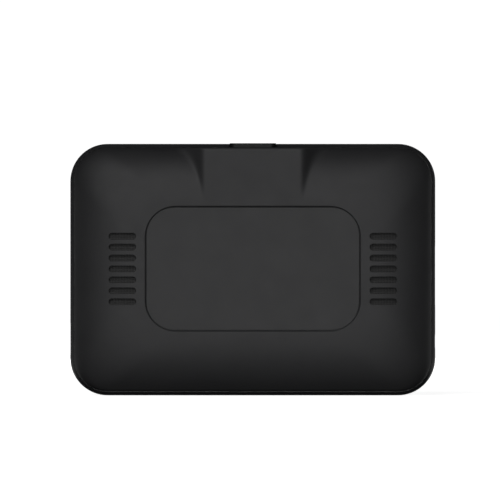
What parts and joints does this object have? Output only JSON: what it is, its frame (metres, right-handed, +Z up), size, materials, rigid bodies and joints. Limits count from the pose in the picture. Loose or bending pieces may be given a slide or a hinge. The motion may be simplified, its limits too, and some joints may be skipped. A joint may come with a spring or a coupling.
{
  "type": "radar detector",
  "caption": "Slim rounded in-car radar detector: domed vented back with an inset panel and a spine to a top bracket socket, display on the front.",
  "frame": {"origin": "under the middle of the case, on the plane of its bottom edge", "axes": "+X to the right seen from behind the domed back, +Y out of the display towards the driver, +Z up"},
  "size_m": [0.1, 0.02, 0.069],
  "materials": {
    "case": "fine matte texture",
    "panel": "fine matte texture",
    "trim": "gloss",
    "lens": "gloss",
    "mesh": "woven dust mesh",
    "foam": "closed-cell foam",
    "steel": "zinc plated",
    "shield": "tin plated",
    "brass": "turned",
    "gold": "gold plated",
    "board": "solder mask",
    "chip": "moulded",
    "alloy": "die cast",
    "ceramic": "fired",
    "optic": "filter glass"
  },
  "bodies": {
    "case": {"backup_cell": "steel", "board_chips": "chip", "board_standoffs": "brass", "card_socket": "shield", "case_screws": "steel", "cell_holder": "chip", "chassis_screws": "steel", "cover_lens": "lens", "display_chassis": "steel", "flex_connector": "chip", "front_bezel": "case", "gps_antenna": "ceramic", "key_board": "board", "key_connector": "chip", "key_switches": "chip", "laser_holder": "chip", "laser_lens": "optic", "laser_photodiode": "chip", "lcd_backlight": "alloy", "lcd_gasket": "foam", "lcd_panel": "lens", "lens_gasket": "foam", "light_sensor": "chip", "main_board": "board", "mount_contacts": "gold", "mount_socket": "trim", "panel_adhesive": "foam", "power_jack": "chip", "processor": "chip", "radar_board": "board", "radar_horn": "alloy", "rear_cover": "case", "rear_panel": "panel", "regulator_heatsink": "alloy", "regulators": "chip", "rf_shield": "shield", "rocker_bracket": "steel", "rocker_pin": "steel", "rocker_switches": "chip", "socket_screws": "steel", "speaker_frame": "chip", "speaker_gasket": "foam", "speaker_magnet": "alloy", "usb_port": "shield", "vent_mesh_left": "mesh", "vent_mesh_right": "mesh"},
    "volume_rocker": {"volume_rocker": "trim"},
    "power_key": {"power_key": "trim"},
    "menu_key": {"menu_key": "trim"},
    "mode_key": {"mode_key": "trim"},
    "mute_key": {"mute_key": "trim"},
    "memory_card": {"memory_card": "lens"},
    "speaker_cone": {"speaker_cone": "chip"}
  },
  "joints": [
    {"name": "volume_rock", "type": "hinge", "parent": "case", "child": "volume_rocker", "pos_m": [0.046, 0.0058, 0.03275], "axis": [0, 1, 0], "range_deg": [-2, 2], "stiffness_Nm_per_rad": 0.3},
    {"name": "power_key_press", "type": "slide", "parent": "case", "child": "power_key", "axis": [0, -1, 0], "range_m": [0, 0.0003], "stiffness_N_per_m": 1500},
    {"name": "menu_key_press", "type": "slide", "parent": "case", "child": "menu_key", "axis": [0, -1, 0], "range_m": [0, 0.0003], "stiffness_N_per_m": 1500},
    {"name": "mode_key_press", "type": "slide", "parent": "case", "child": "mode_key", "axis": [0, -1, 0], "range_m": [0, 0.0003], "stiffness_N_per_m": 1500},
    {"name": "mute_key_press", "type": "slide", "parent": "case", "child": "mute_key", "axis": [0, -1, 0], "range_m": [0, 0.0003], "stiffness_N_per_m": 1500},
    {"name": "card_slide", "type": "slide", "parent": "case", "child": "memory_card", "axis": [-1, 0, 0], "range_m": [-0.0005, 0.0145]},
    {"name": "cone_travel", "type": "slide", "parent": "case", "child": "speaker_cone", "axis": [0, -1, 0], "range_m": [-0.00035, 0.00035], "stiffness_N_per_m": 500}
  ]
}
